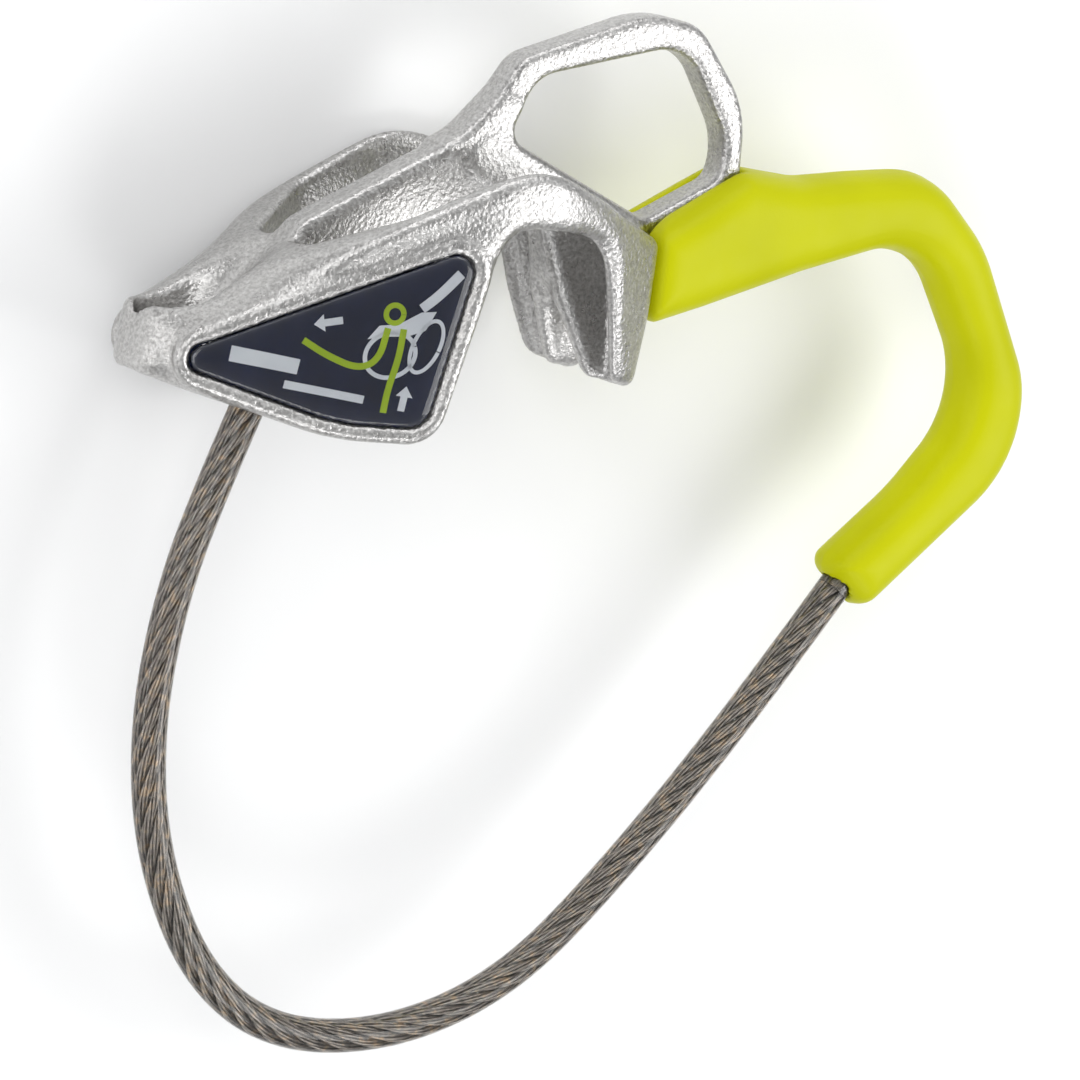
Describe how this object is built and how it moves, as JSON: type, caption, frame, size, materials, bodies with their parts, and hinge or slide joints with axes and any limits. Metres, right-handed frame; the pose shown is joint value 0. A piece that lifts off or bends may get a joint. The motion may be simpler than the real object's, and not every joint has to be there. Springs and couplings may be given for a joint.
{
  "type": "rope descender",
  "caption": "Cast belay and abseil device: rope slots each side of a web, brake tongues, thumb eye, nose eyelet and a sheathed wire bail.",
  "frame": {"origin": "middle of the bounding box's underside, on the plane of the far side plate's outer face", "axes": "+X along the body from the nose to the sheath, +Y from the wire bail to the thumb eye, +Z through the side plates"},
  "size_m": [0.1259, 0.1231, 0.032],
  "materials": {
    "cast_steel": "investment-cast stainless steel, bright, with a fine pebbled grain",
    "sheath_plastic": "lime moulded plastic, satin",
    "wire_rope": "stranded steel wire rope",
    "clear_jacket": "clear glossy extruded jacket",
    "ferrule_steel": "swaged steel sleeve",
    "label_foil": "dark blue printed foil with a plain rope pictogram",
    "label_resin": "clear cast resin dome"
  },
  "bodies": {
    "device": {"cast_body": "cast_steel", "sheath": "sheath_plastic", "front_wire_end": "wire_rope", "front_jacket_end": "clear_jacket", "rear_wire_end": "wire_rope", "rear_jacket_end": "clear_jacket", "front_ferrule": "ferrule_steel", "rear_ferrule": "ferrule_steel", "label_foil_near": "label_foil", "label_dome_near": "label_resin", "label_foil_far": "label_foil", "label_dome_far": "label_resin"},
    "bail": {"bail_wire": "wire_rope", "bail_jacket": "clear_jacket"}
  },
  "joints": [
    {"name": "bail_flex", "type": "hinge", "parent": "device", "child": "bail", "pos_m": [-0.0454, 0.0172, 0.016], "axis": [0.9624, -0.2716, 0], "range_deg": [-11, 11], "stiffness_Nm_per_rad": 0.6}
  ]
}
